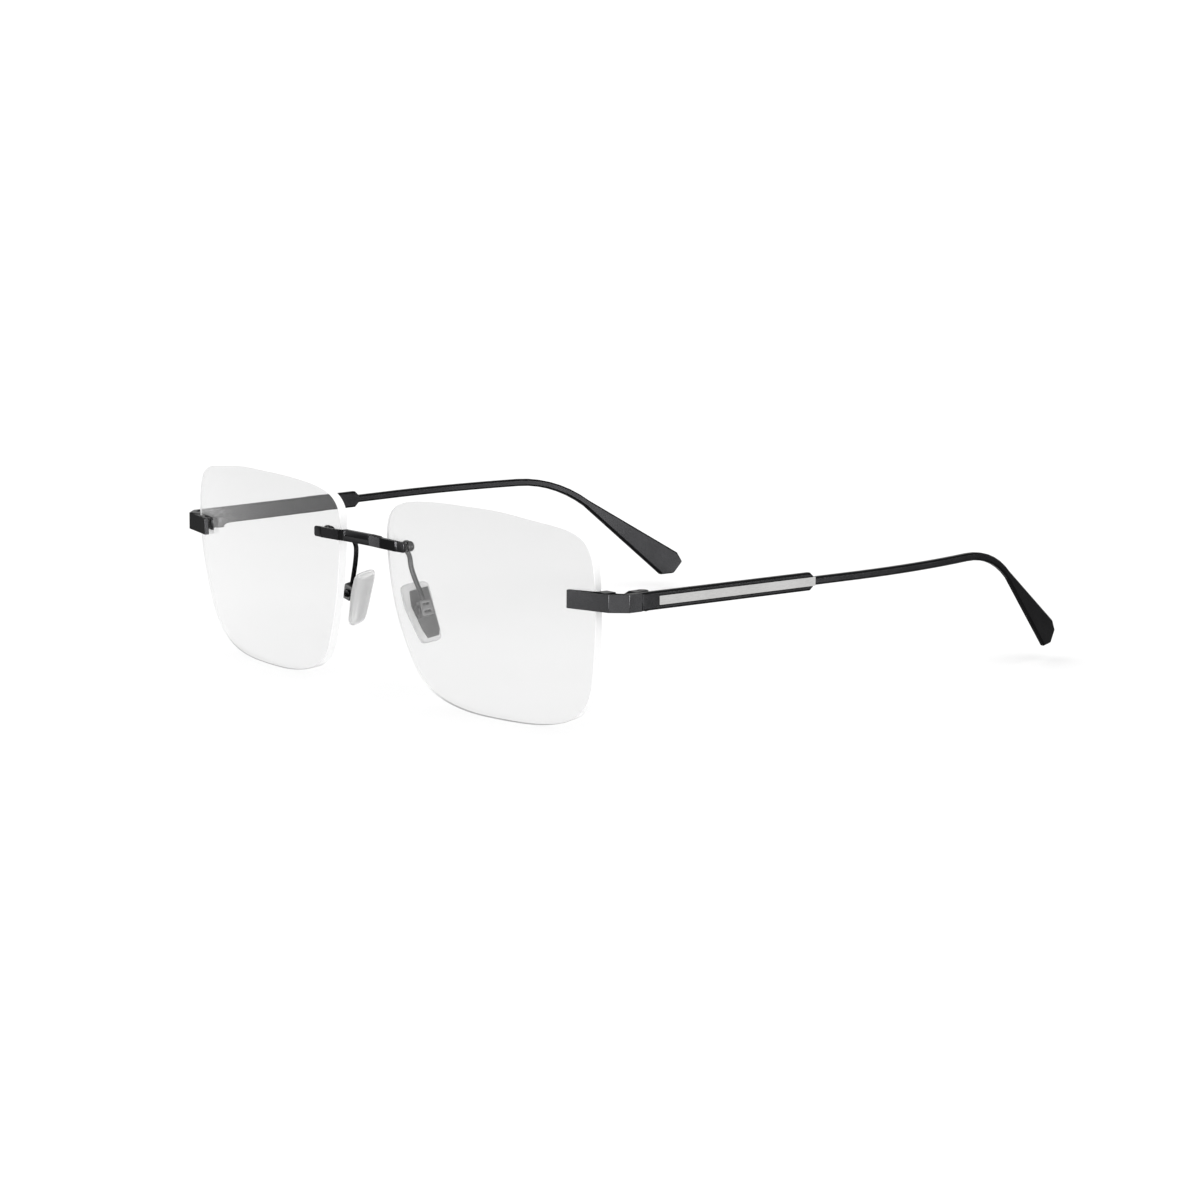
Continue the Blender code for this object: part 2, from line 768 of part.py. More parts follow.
def make_clamp_plate(front_face):
    """A small plate between the bush flange and the cap nut of the endpiece."""
    thickness = 0.5 * MM
    middle = Matrix.Translation((0.0, 0.0, front_face - thickness / 2))
    seat = seat_frame(*OUTER_HOLE)
    plate = block("clamp_plate", (3.4 * MM, 2.3 * MM, thickness), seat @ middle)
    bore = cylinder("clamp_bore", STUD_RADIUS + BORE_GAP, -8 * MM, 2 * MM, seat)
    return cut(plate, bore), front_face - thickness


def make_hinge_screw():
    """Its head is sunk in the tongue, level with the tongue's top."""
    chamfer = 0.1 * MM
    profile = [
        (0.0, TONGUE_TOP),
        (HINGE_HEAD_RADIUS - chamfer, TONGUE_TOP),
        (HINGE_HEAD_RADIUS, TONGUE_TOP - chamfer),
        (HINGE_HEAD_RADIUS, HINGE_HEAD_SEAT),
        (HINGE_SCREW_RADIUS, HINGE_HEAD_SEAT),
        (HINGE_SCREW_RADIUS, KNUCKLE_BOTTOM + SEAT_GAP),
        (0.0, KNUCKLE_BOTTOM + SEAT_GAP),
    ]
    return turned("hinge_screw", profile, Matrix.Translation((HINGE_X, HINGE_Y, 0.0)), steps=16)


# --- temple ---


BEND_START = 101.1 * MM  # side view: the temple turns down
BEND_RADIUS = 28.9 * MM
BEND_ANGLE = math.radians(37.5)
CURVE_START = 64.5 * MM  # plan view: the temple turns in
CURVE_RADIUS = 150 * MM
CURVE_ANGLE = math.radians(21.8)
PADDLE_LENGTH = 27.9 * MM
PADDLE_TAPER = 0.094  # growth of the half height along the paddle
PADDLE_NOSE = 2.2 * MM


def outer_face_x(y):
    """The outer face in plan: straight, then an arc inward, then straight again."""
    run = y - CURVE_START
    straight = temple_outer_x(min(y, CURVE_START))
    if run <= 0.0:
        return straight
    arc_end = CURVE_RADIUS * (math.sin(SPLAY) - math.sin(SPLAY - CURVE_ANGLE))
    turn = math.asin(math.sin(SPLAY) - min(run, arc_end) / CURVE_RADIUS)
    x = straight + CURVE_RADIUS * (math.cos(turn) - math.cos(SPLAY))
    return x + math.tan(SPLAY - CURVE_ANGLE) * max(0.0, run - arc_end)


def temple_ring(y, z, lean, half_height, shift=0.0):
    """One eight-sided section. The section is square to a centre line that leans down."""
    chamfer = min(0.35 * MM, half_height * 0.45)
    inside = TEMPLE_THICKNESS
    corners = [
        (0.0, half_height - chamfer),
        (chamfer, half_height),
        (inside - chamfer, half_height),
        (inside, half_height - chamfer),
        (inside, -half_height + chamfer),
        (inside - chamfer, -half_height),
        (chamfer, -half_height),
        (0.0, -half_height + chamfer),
    ]
    ring = []
    for depth, height in corners:
        point_y = y + (height + shift) * math.sin(lean)
        point_z = z + (height + shift) * math.cos(lean)
        ring.append((outer_face_x(point_y) - depth, point_y, point_z))
    return ring


def make_temple():
    wide = TEMPLE_HEIGHT / 2
    thin = WIRE_HEIGHT / 2
    rings = [temple_ring(JOINT_Y + SEAT_GAP / 2, 0.0, 0.0, wide)]
    rings.append(temple_ring(WIDE_END_Y - 1.1 * MM, 0.0, 0.0, wide))
    rings.append(temple_ring(WIDE_END_Y, 0.0, 0.0, thin))
    straight_steps = 9
    for i in range(1, straight_steps + 1):
        y = WIDE_END_Y + 8 * MM + (BEND_START - WIDE_END_Y - 8 * MM) * i / straight_steps
        rings.append(temple_ring(y, 0.0, 0.0, thin))
    bend_steps = 7
    for i in range(1, bend_steps + 1):
        lean = BEND_ANGLE * i / bend_steps
        y = BEND_START + BEND_RADIUS * math.sin(lean)
        z = -BEND_RADIUS * (1.0 - math.cos(lean))
        rings.append(temple_ring(y, z, lean, thin))
    paddle_steps = 5
    taper_length = PADDLE_LENGTH - PADDLE_NOSE
    for i in range(1, paddle_steps + 1):
        run = taper_length * i / paddle_steps
        place = (y + run * math.cos(lean), z - run * math.sin(lean))
        rings.append(temple_ring(*place, lean, thin + PADDLE_TAPER * run))
    place = (y + PADDLE_LENGTH * math.cos(lean), z - PADDLE_LENGTH * math.sin(lean))
    rings.append(temple_ring(*place, lean, 1.85 * MM, shift=0.45 * MM))
    temple = loft("temple", rings)

    # hinge knuckle: a block on the inner face whose foot runs up in a curve to the temple
    inner_x = temple_outer_x(HINGE_Y) - TEMPLE_THICKNESS
    foot_end = HINGE_Y + 2.3 * MM
    side = [
        (HINGE_Y - 0.6 * MM, KNUCKLE_TOP),
        (HINGE_Y - 0.6 * MM, KNUCKLE_BOTTOM),
        (HINGE_Y + 0.5 * MM, KNUCKLE_BOTTOM + 0.15 * MM),
        (HINGE_Y + 1.2 * MM, KNUCKLE_BOTTOM + 0.7 * MM),
        (foot_end, -1.2 * MM),
        (foot_end, KNUCKLE_TOP),
    ]
    yz_plane = facing_out()
    block_low = HINGE_X - 0.92 * KNUCKLE_RADIUS
    block_high = inner_x + 0.3 * MM
    knuckle = prism("knuckle_block", side, block_low, block_high, yz_plane)
    pin = Matrix.Translation((HINGE_X, HINGE_Y, 0.0))
    barrel = cylinder("knuckle", KNUCKLE_RADIUS, KNUCKLE_BOTTOM, KNUCKLE_TOP, pin)
    temple = join(temple, join(knuckle, barrel))
    bore = cylinder("knuckle_bore", HINGE_SCREW_RADIUS + BORE_GAP, -5 * MM, 5 * MM, pin)
    pocket = inlay_block("inlay_pocket", INLAY_DEPTH, 2 * MM, SEAT_GAP)
    return cut(temple, bore, pocket)


INLAY_START = 15.6 * MM
INLAY_HEIGHT = 1.8 * MM
INLAY_DEPTH = 0.4 * MM
INLAY_PROUD = 0.1 * MM


def inlay_block(name, depth, proud, gap):
    """A bar let into the temple's outer face by depth, standing proud of it, grown by gap."""
    length = (WIDE_END_Y - INLAY_START) / math.cos(SPLAY)
    size = (depth + proud, length + 2 * gap, INLAY_HEIGHT + 2 * gap)
    middle_y = (WIDE_END_Y + INLAY_START) / 2
    place = Matrix.Translation((temple_outer_x(middle_y), middle_y, 0.0))
    turn = Matrix.Rotation(-SPLAY, 4, "Z")
    shift = Matrix.Translation(((proud - depth) / 2, 0.0, 0.0))
    return block(name, size, place @ turn @ shift)


def make_inlay():
    return inlay_block("inlay", INLAY_DEPTH - SEAT_GAP, INLAY_PROUD, 0.0)


def build():
    clear_scene()
    make_collections()

    gunmetal = make_material("gunmetal", (0.045, 0.045, 0.048), 0.45, 0.85)
    satin = make_material("satin_nickel", (0.62, 0.61, 0.60), 0.35, 1.0)
    lens_material = make_material("clear_lens", (0.93, 0.94, 0.95), 0.02, 0.0, alpha=0.25)
    clear_plastic = make_material("clear_plastic", (0.85, 0.86, 0.87), 0.15, 0.0, alpha=0.5)
    silicone = make_material("silicone", (0.80, 0.80, 0.80), 0.35, 0.0)
    core_material = make_material("core_metal", (0.16, 0.16, 0.165), 0.5, 0.7)

    temple_axes = empty_pair("temple_hinge_axis", (HINGE_X, HINGE_Y, 0.0))
    pivot = pivot_frame()
    pad_axes = empty_pair("pad_pivot_axis", pivot.translation, pivot.to_euler())

    finish_pair(make_lens(), "lens", lens_material)
    place_piece("bridge", make_bridge().data.copy(), gunmetal, None)

    bush, flange_back = make_bush(NASAL_HOLE)
    eyelet_front = flange_back - SEAT_GAP / 2
    nut_face = eyelet_front - EYELET_THICKNESS - SEAT_GAP / 2
    finish_pair(bush, "bridge_bush", clear_plastic)
    finish_pair(make_pad_arm(eyelet_front), "pad_arm", gunmetal)
    finish_pair(make_nut(NASAL_HOLE, nut_face), "bridge_nut", gunmetal)
    finish_pair(make_stud(NASAL_HOLE, 0.4 * MM, nut_face), "bridge_stud", gunmetal)

    finish_pair(make_pad_box(), "pad_box", gunmetal)
    finish_pair(make_pad_screw(), "pad_screw", gunmetal)
    finish_pair(make_pad_core(), "pad_core", core_material, pad_axes)
    finish_pair(make_nose_pad(), "nose_pad", silicone, pad_axes)

    finish_pair(make_endpiece(), "endpiece", gunmetal)
    bush, flange_back = make_bush(OUTER_HOLE)
    plate, plate_back = make_clamp_plate(flange_back - SEAT_GAP / 2)
    nut_face = plate_back - SEAT_GAP / 2
    finish_pair(bush, "endpiece_bush", clear_plastic)
    finish_pair(plate, "clamp_plate", gunmetal)
    finish_pair(make_nut(OUTER_HOLE, nut_face), "endpiece_nut", gunmetal)
    finish_pair(make_stud(OUTER_HOLE, 0.6 * MM, nut_face), "endpiece_stud", gunmetal)
    finish_pair(make_hinge_screw(), "hinge_screw", gunmetal)

    finish_pair(make_temple(), "temple", gunmetal, temple_axes)
    finish_pair(make_inlay(), "temple_inlay", satin, temple_axes)


build()
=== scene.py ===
"""Rimless eyeglasses: the finished look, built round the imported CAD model.

Frame: +X is the wearer's left, -Y is forward, +Z is up, and the origin is the middle of the
bridge's front face. Lengths are in metres. The metal pieces start from the CAD meshes and get
softened edges. The lenses, nose pads, wire arms, nuts, screws, studs and bushes are built here
again at a finer grain.
"""

import json
import math

import bmesh
import bpy
from mathutils import Matrix, Vector

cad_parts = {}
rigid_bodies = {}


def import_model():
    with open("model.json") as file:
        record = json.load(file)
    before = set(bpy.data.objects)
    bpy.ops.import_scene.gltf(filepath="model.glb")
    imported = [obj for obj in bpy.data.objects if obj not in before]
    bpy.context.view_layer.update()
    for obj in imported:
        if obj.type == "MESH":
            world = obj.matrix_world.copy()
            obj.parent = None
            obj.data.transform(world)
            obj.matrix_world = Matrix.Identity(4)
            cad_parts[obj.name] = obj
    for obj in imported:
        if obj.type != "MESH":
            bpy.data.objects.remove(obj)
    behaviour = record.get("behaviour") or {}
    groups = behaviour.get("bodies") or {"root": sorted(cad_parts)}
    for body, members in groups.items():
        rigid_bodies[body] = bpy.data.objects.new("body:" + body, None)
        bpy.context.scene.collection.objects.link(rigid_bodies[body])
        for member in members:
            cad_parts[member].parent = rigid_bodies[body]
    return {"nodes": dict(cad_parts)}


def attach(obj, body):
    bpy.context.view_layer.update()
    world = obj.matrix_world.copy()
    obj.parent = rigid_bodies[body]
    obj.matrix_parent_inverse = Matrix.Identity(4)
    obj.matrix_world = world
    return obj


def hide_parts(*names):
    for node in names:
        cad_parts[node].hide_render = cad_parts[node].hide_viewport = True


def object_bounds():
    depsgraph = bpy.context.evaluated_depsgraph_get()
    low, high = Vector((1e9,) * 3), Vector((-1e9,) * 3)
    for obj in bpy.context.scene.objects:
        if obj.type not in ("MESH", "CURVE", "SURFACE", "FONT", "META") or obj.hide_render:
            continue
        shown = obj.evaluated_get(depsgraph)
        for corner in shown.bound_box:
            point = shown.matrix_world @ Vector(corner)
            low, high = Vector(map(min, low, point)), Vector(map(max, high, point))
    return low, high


MM = 0.001
SIDES = (("left", 1.0), ("right", -1.0))

# Lens
LENS_WIDTH = 58.0 * MM
LENS_HEIGHT = 43.2 * MM
BRIDGE_GAP = 16.0 * MM
FRONT_CURVE_RADIUS = 132.7 * MM
LENS_THICKNESS = 1.8 * MM
LENS_CENTRE_Y = 2.1 * MM  # lens centre behind the bridge's front face, and below it
LENS_CENTRE_Z = -10.7 * MM
PANTOSCOPIC = math.radians(5.5)
WRAP = math.radians(5.5)
NASAL_HOLE = (-23.8 * MM, 10.55 * MM)
OUTER_HOLE = (25.7 * MM, 6.0 * MM)
DRILL_RADIUS = 1.05 * MM
EDGE_BEVEL = 0.16 * MM
LENS_STEPS = 288  # points round the outline
FACE_SHARES = (0.06, 0.18, 0.34, 0.52, 0.70, 0.86, 0.95)  # where the rings of a face lie

# Fasteners
SEAT_GAP = 0.10 * MM
STUD_RADIUS = 0.6 * MM
STUD_END_RADIUS = 0.5 * MM
THREAD_PITCH = 0.25 * MM
THREAD_DEPTH = 0.07 * MM
BRIDGE_STUD_FRONT = 0.4 * MM  # how far the studs stand in front of the lens
OUTER_STUD_FRONT = 0.6 * MM
BUSH_FIT = 0.03 * MM  # round the stud
BUSH_RADIUS = 0.95 * MM
BUSH_FLANGE_RADIUS = 1.15 * MM
BUSH_FLANGE = 0.2 * MM
NUT_RADIUS = 1.05 * MM
NUT_HEIGHT = 1.1 * MM
NUT_WALL = 0.45 * MM  # the straight wall under the dome
EYELET_THICKNESS = 0.65 * MM
EYELET_RADIUS = 1.3 * MM
EYELET_FIT = 0.05 * MM  # round the stud
CLAMP_THICKNESS = 0.5 * MM
SCREW_SLOT = (0.22 * MM, 0.16 * MM)  # width and depth
SLOT_CUTTER = 3 * MM  # longer than any screw head is wide

# Hinge screw
HINGE_PIN = Vector((69.35 * MM, 16.0 * MM, 0.0))
HINGE_HEAD_TOP = -2.85 * MM
HINGE_HEAD_SEAT = HINGE_HEAD_TOP - 0.3 * MM
HINGE_HEAD_RADIUS = 0.85 * MM
HINGE_SCREW_RADIUS = 0.45 * MM
HINGE_SCREW_FOOT = -6.6 * MM

# Nose pads
PAD_CENTRE = Vector((10.5 * MM, 9.3 * MM, -14.3 * MM))
PAD_TURN = math.radians(-15)
PAD_SPLAY = math.radians(-20)
PAD_PITCH = math.radians(7)
PAD_SIZE = (2.2 * MM, 6.3 * MM, 12.6 * MM)
PAD_SLANT_TOP = 1.5 * MM
CORE_INNER = 0.45 * MM
PIVOT = (2.6 * MM, 0.0, 0.4 * MM)
BOX_HALF_WIDTH = 1.25 * MM
BOX_HALF_HEIGHT = 1.6 * MM
PAD_SCREW_RADIUS = 0.35 * MM
PAD_HEAD_RADIUS = 0.85 * MM
PAD_HEAD_HEIGHT = 0.55 * MM

# Wire arms of the nose pads: the elbow, and steps from the wire's ends and elbow to the handles
# of its two curves
ARM_RADIUS = 0.5 * MM
ELBOW = Vector((9.6 * MM, 7.45 * MM, -3.6 * MM))
LEAVE_EYELET = Vector((-2.4 * MM, 0.6 * MM, 0.2 * MM))
ABOVE_ELBOW = Vector((-0.1 * MM, -0.1 * MM, 2.4 * MM))
ABOVE_BOX = Vector((-0.9 * MM, -0.3 * MM, 2.5 * MM))

# Flat faces at least this broad keep a crisp edge where they meet at more than the facet angle.
# Small faces among small ones blend up to the curve angle.
FACET_AREA = 1.2 * MM * MM
FACET_ANGLE = math.radians(7)
CURVE_ANGLE = math.radians(50)

# Mesh tools: edges turned more than this are rounded, faces turned less than this are merged,
# and points nearer than this are joined
ROUNDED_EDGE = math.radians(24)
MERGED_FLAT = math.radians(0.6)
WELD = 0.002 * MM

# Strips of light that stand round the glasses: azimuth in degrees and power
STRIPS = ((-22, 13.0), (34, 25.0), (90, 24.5), (118, 7.0), (146, 5.0))
STRIP_WIDTH = 0.45
STRIP_HEIGHT = 0.1
STRIP_DISTANCE = 1.0
MIDDLE = Vector((0.0, 0.05, 0.02))  # the point that the strips face

# Surroundings and camera
FLOOR_RADIUS = 6.0
WORLD_STRENGTH = 1.2
VIEW_AZIMUTH = math.radians(48.78)
VIEW_ELEVATION = math.radians(9.6)
VIEW_ROLL = math.radians(0.44)
CAMERA_PLACE = (0.5920, -0.4526, 0.1139)
SENSOR_WIDTH = 36.0  # this and the focal length are in millimetres, as Blender takes them
FOCAL_LENGTH = 111.17

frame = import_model()
cad_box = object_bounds()


# --- mesh tools ---


def baked(obj):
    """A plain copy of an object's shape, with its modifiers and its place applied."""
    bpy.context.view_layer.update()
    graph = bpy.context.evaluated_depsgraph_get()
    mesh = bpy.data.meshes.new_from_object(obj.evaluated_get(graph))
    mesh.transform(obj.matrix_world)
    bpy.data.objects.remove(obj, do_unlink=True)
    return mesh


def temporary(name, mesh):
    obj = bpy.data.objects.new(name, mesh)
    bpy.context.scene.collection.objects.link(obj)
    return obj


def mesh_from(work):
    bmesh.ops.recalc_face_normals(work, faces=work.faces)
    mesh = bpy.data.meshes.new("shape")
    work.to_mesh(mesh)
    work.free()
    return mesh


def boolean(mesh, other, operation):
    """Cuts, joins or intersects two closed meshes."""
    body = temporary("body", mesh)
    tool = temporary("tool", other)
    modifier = body.modifiers.new("cut", "BOOLEAN")
    modifier.operation = operation
    modifier.solver = "EXACT"
    modifier.object = tool
    result = baked(body)
    bpy.data.objects.remove(tool, do_unlink=True)
    return result


def turned(profile, place, steps=40):
    """A profile of (radius, height) points, from the axis or round a bore, turned about Z."""
    work = bmesh.new()
    rows = []
    for radius, height in profile:
        if radius == 0.0:
            rows.append([work.verts.new((0.0, 0.0, height))])
            continue
        row = []
        for i in range(steps):
            angle = 2 * math.pi * i / steps
            row.append(work.verts.new((radius * math.cos(angle), radius * math.sin(angle), height)))
        rows.append(row)
    pairs = list(zip(rows, rows[1:]))
    if profile[0][0] > 0.0:
        pairs.append((rows[-1], rows[0]))
    for first, second in pairs:
        for i in range(steps):
            j = (i + 1) % steps
            corners = [first[i % len(first)], second[i % len(second)]]
            corners += [second[j % len(second)], first[j % len(first)]]
            unique = list(dict.fromkeys(corners))
            if len(unique) > 2:
                work.faces.new(unique)
    mesh = mesh_from(work)
    mesh.transform(place)
    return mesh


def box_mesh(size, place):
    """A box round the local origin."""
    work = bmesh.new()
    bmesh.ops.create_cube(work, size=1.0, matrix=Matrix.Diagonal((*size, 1.0)))
    mesh = mesh_from(work)
    mesh.transform(place)
    return mesh


def plate_mesh(outline, low, high, place):
    """A flat outline extruded along local Z."""
    work = bmesh.new()
    rows = [[work.verts.new((x, y, z)) for x, y in outline] for z in (low, high)]
    work.faces.new(rows[0])
    work.faces.new(rows[1])
    for i in range(len(outline)):
        j = (i + 1) % len(outline)
        work.faces.new((rows[0][i], rows[0][j], rows[1][j], rows[1][i]))
    mesh = mesh_from(work)
    mesh.transform(place)
    return mesh


def mirrored(mesh):
    """The same shape on the other side of the glasses."""
    copy = mesh.copy()
    copy.transform(Matrix.Scale(-1.0, 4, (1.0, 0.0, 0.0)))
    copy.flip_normals()
    return copy


def soften_edges(mesh, width, merge_flats):
    """Welds a mesh and rounds its sharp edges. A flat with holes in it keeps its triangles."""
    work = bmesh.new()
    work.from_mesh(mesh)
    bmesh.ops.remove_doubles(work, verts=work.verts, dist=WELD)
    if merge_flats:
        bmesh.ops.dissolve_limit(
            work, angle_limit=MERGED_FLAT, verts=work.verts, edges=work.edges
        )
    edges = [e for e in work.edges if e.is_manifold and e.calc_face_angle(0.0) > ROUNDED_EDGE]
    bmesh.ops.bevel(
        work,
        geom=edges,
        offset=width,
        offset_type="OFFSET",
        segments=2,
        profile=0.5,
        affect="EDGES",
        clamp_overlap=False,
        loop_slide=True,
    )
    bmesh.ops.remove_doubles(work, verts=work.verts, dist=WELD / 2)
    return mesh_from(work)


def flat_facet_normals(mesh):
    """Shades broad faces flat, lets their narrow rounded edges blend, and keeps bends smooth."""
    work = bmesh.new()
    work.from_mesh(mesh)
    normals = []
    for face in work.faces:
        for loop in face.loops:
            guide = face
            if face.calc_area() < FACET_AREA:
                beside = [other for e in face.edges if loop.vert in e.verts for other in e.link_faces]
                guide = max(beside, key=lambda other: other.calc_area())
            if guide.calc_area() < FACET_AREA:
                near, limit = loop.vert.link_faces, CURVE_ANGLE
            else:
                broad = [f for f in loop.vert.link_faces if f.calc_area() > FACET_AREA]
                near, limit = broad, FACET_ANGLE
            total = guide.normal.copy()
            for other in near:
                if other != guide and other.normal.angle(guide.normal, 0.0) < limit:
                    total += other.normal
            normals.append(total.normalized())
    work.free()
    mesh.normals_split_custom_set(normals)


def finish_piece(node, mesh, material, body, crease=None):
    """Puts a finished mesh in the scene, riding on its body and standing for its CAD node."""
    mesh.name = "finished_" + node
    if material is not None:
        mesh.materials.clear()
        mesh.materials.append(material)
    mesh.shade_smooth()
    piece = temporary(mesh.name, mesh)
    if crease is None:
        flat_facet_normals(mesh)
    else:
        mesh.set_sharp_from_angle(angle=math.radians(crease))
        normals = piece.modifiers.new("flat faces stay flat", "WEIGHTED_NORMAL")
        normals.keep_sharp = True
        normals.weight = 80
    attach(piece, body)
    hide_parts(node)


def finish_sides(node, mesh, material, bodies=("front", "front"), crease=60.0):
    """A left-hand mesh and its mirror image, each standing for its own CAD node."""
    for (side, sign), body in zip(SIDES, bodies):
        shape = mesh.copy() if sign > 0 else mirrored(mesh)
        finish_piece(node + "_" + side, shape, material, body, crease)


def softened_node(node, material, body, width, merge_flats=True):
    """A CAD piece with its sharp edges rounded to a width."""
    shape = soften_edges(frame["nodes"][node].data.copy(), width, merge_flats)
    finish_piece(node, shape, material, body)


# --- materials ---


class Shader:
    """A small helper for building a node material."""

    def __init__(self, name):
        self.material = bpy.data.materials.new(name)
        self.material.use_nodes = True
        self.tree = self.material.node_tree
        self.principled = self.tree.nodes["Principled BSDF"]
        self.output = self.tree.nodes["Material Output"]

    def add(self, kind, **values):
        node = self.tree.nodes.new(kind)
        for key, value in values.items():
            if hasattr(node, key):
                setattr(node, key, value)
            else:
                node.inputs[key.replace("_", " ")].default_value = value
        return node

    def link(self, source, target):
        self.tree.links.new(source, target)

    def set(self, **values):
        for key, value in values.items():
            self.principled.inputs[key.replace("_", " ")].default_value = value

    def place(self, scale=(1.0, 1.0, 1.0)):
        """Object coordinates in metres, scaled per axis."""
        coordinates = self.add("ShaderNodeTexCoord")
        mapping = self.add("ShaderNodeMapping")
        mapping.inputs["Scale"].default_value = scale
        self.link(coordinates.outputs["Object"], mapping.inputs["Vector"])
        return mapping.outputs["Vector"]

    def noise(self, vector, scale, detail=3.0):
        node = self.add("ShaderNodeTexNoise", Scale=scale, Detail=detail)
        self.link(vector, node.inputs["Vector"])
        return node.outputs["Fac"]

    def ramp(self, value, stops):
        node = self.add("ShaderNodeValToRGB")
        elements = node.color_ramp.elements
        while len(elements) < len(stops):
            elements.new(0.5)
        for element, (position, colour) in zip(elements, stops):
            element.position = position
            element.color = (*colour, 1.0)
        self.link(value, node.inputs["Fac"])
        return node.outputs["Color"]

    def spread(self, value, low, high):
        """Maps a noise value from its usual 0.3 to 0.7 onto a range."""
        node = self.add("ShaderNodeMapRange")
        node.inputs["From Min"].default_value = 0.3
        node.inputs["From Max"].default_value = 0.7
        node.inputs["To Min"].default_value = low
        node.inputs["To Max"].default_value = high
        self.link(value, node.inputs["Value"])
        return node.outputs["Result"]

    def along_z(self, vector, low, high):
        """Rises from 0 to 1 between two heights."""
        split = self.add("ShaderNodeSeparateXYZ")
        self.link(vector, split.inputs[0])
        node = self.add("ShaderNodeMapRange")
        node.inputs["From Min"].default_value = low
        node.inputs["From Max"].default_value = high
        self.link(split.outputs["Z"], node.inputs["Value"])
        return node.outputs["Result"]

    def mix(self, factor, first, second):
        node = self.add("ShaderNodeMix", data_type="RGBA")
        for socket, value in ((0, factor), (6, first), (7, second)):
            if isinstance(value, (float, tuple)):
                node.inputs[socket].default_value = value
            else:
                self.link(value, node.inputs[socket])
        return node.outputs[2]

    def bump(self, height, depth, strength=1.0):
        node = self.add("ShaderNodeBump", Strength=strength, Distance=depth)
        self.link(height, node.inputs["Height"])
        self.link(node.outputs["Normal"], self.principled.inputs["Normal"])


def grey(value):
    return (value, value, value)


def make_gunmetal():
    """Matte dark plating: fine grain, faint cloudiness and slightly brighter worn edges."""
    shader = Shader("gunmetal_plating")
    place = shader.place()
    cloud = shader.noise(place, 260.0, 4.0)
    grain = shader.noise(place, 9000.0, 2.0)
    base = shader.ramp(cloud, [(0.3, (0.0070, 0.0070, 0.0073)), (0.7, (0.0088, 0.0088, 0.0092))])
    geometry = shader.add("ShaderNodeNewGeometry")
    worn = shader.ramp(geometry.outputs["Pointiness"], [(0.53, grey(0.0)), (0.62, grey(0.5))])
    shader.link(shader.mix(worn, base, (0.035, 0.035, 0.036, 1.0)), shader.principled.inputs[0])
    shader.link(shader.spread(grain, 0.25, 0.31), shader.principled.inputs["Roughness"])
    shader.set(Metallic=1.0, Specular_Tint=(0.5, 0.5, 0.5, 1.0))
    shader.bump(grain, 0.003 * MM, 0.5)
    return shader.material


def make_satin():
    """Satin nickel, brushed along the length of the temple."""
    shader = Shader("satin_brushed_nickel")
    strokes = shader.noise(shader.place((1.0, 0.02, 1.0)), 14000.0, 3.0)
    broad = shader.noise(shader.place(), 120.0, 2.0)
    streaks = shader.ramp(strokes, [(0.3, (0.50, 0.497, 0.492)), (0.7, (0.62, 0.617, 0.612))])
    cloudy = shader.ramp(broad, [(0.3, grey(0.93)), (0.7, grey(1.0))])
    tint = shader.add("ShaderNodeMix", data_type="RGBA", blend_type="MULTIPLY")
    tint.inputs[0].default_value = 1.0
    shader.link(streaks, tint.inputs[6])
    shader.link(cloudy, tint.inputs[7])
    shader.link(tint.outputs[2], shader.principled.inputs[0])
    shader.link(shader.spread(strokes, 0.20, 0.30), shader.principled.inputs["Roughness"])
    shader.set(Metallic=1.0, Anisotropic=0.5)
    shader.bump(strokes, 0.003 * MM, 0.4)
    return shader.material


def make_blasted_metal(name, dark, light):
    """Bead-blasted metal: the plate inside a nose pad, and the box in front of it."""
    shader = Shader(name)
    place = shader.place()
    grain = shader.noise(place, 7000.0, 3.0)
    cloud = shader.noise(place, 400.0, 3.0)
    base = shader.ramp(cloud, [(0.3, grey(dark)), (0.7, grey(light))])
    shader.link(base, shader.principled.inputs[0])
    shader.link(shader.spread(grain, 0.45, 0.6), shader.principled.inputs["Roughness"])
    shader.set(Metallic=1.0, Specular_Tint=(0.5, 0.5, 0.5, 1.0))
    shader.bump(grain, 0.004 * MM, 0.5)
    return shader.material


def see_through(shader, clear):
    """Lets shadow and bounce light pass straight through, so thin clear pieces stay bright."""
    path = shader.add("ShaderNodeLightPath")
    either = shader.add("ShaderNodeMath", operation="MAXIMUM")
    shader.link(path.outputs["Is Shadow Ray"], either.inputs[0])
    shader.link(path.outputs["Is Diffuse Ray"], either.inputs[1])
    transparent = shader.add("ShaderNodeBsdfTransparent")
    transparent.inputs["Color"].default_value = (*grey(clear), 1.0)
    mix = shader.add("ShaderNodeMixShader")
    shader.link(either.outputs[0], mix.inputs[0])
    shader.link(shader.principled.outputs[0], mix.inputs[1])
    shader.link(transparent.outputs[0], mix.inputs[2])
    shader.link(mix.outputs[0], shader.output.inputs["Surface"])


def make_lens_material():
    """Clear polished plastic with a faint grey tint, made darker towards the top as painted shade."""
    shader = Shader("clear_lens_plastic")
    place = shader.place()
    haze = shader.noise(place, 90.0, 2.0)
    half = LENS_HEIGHT / 2
    # painted shade: the tint is darker at the lens top and lighter at its foot, for how the light
    # falls
    height = shader.along_z(place, LENS_CENTRE_Z - half, LENS_CENTRE_Z + half)
    tint = shader.ramp(height, [(0.0, grey(0.885)), (1.0, grey(0.765))])
    shader.link(tint, shader.principled.inputs[0])
    shader.link(shader.spread(haze, 0.0, 0.006), shader.principled.inputs["Roughness"])
    shader.set(IOR=1.53, Transmission_Weight=1.0)
    see_through(shader, 0.94)
    return shader.material


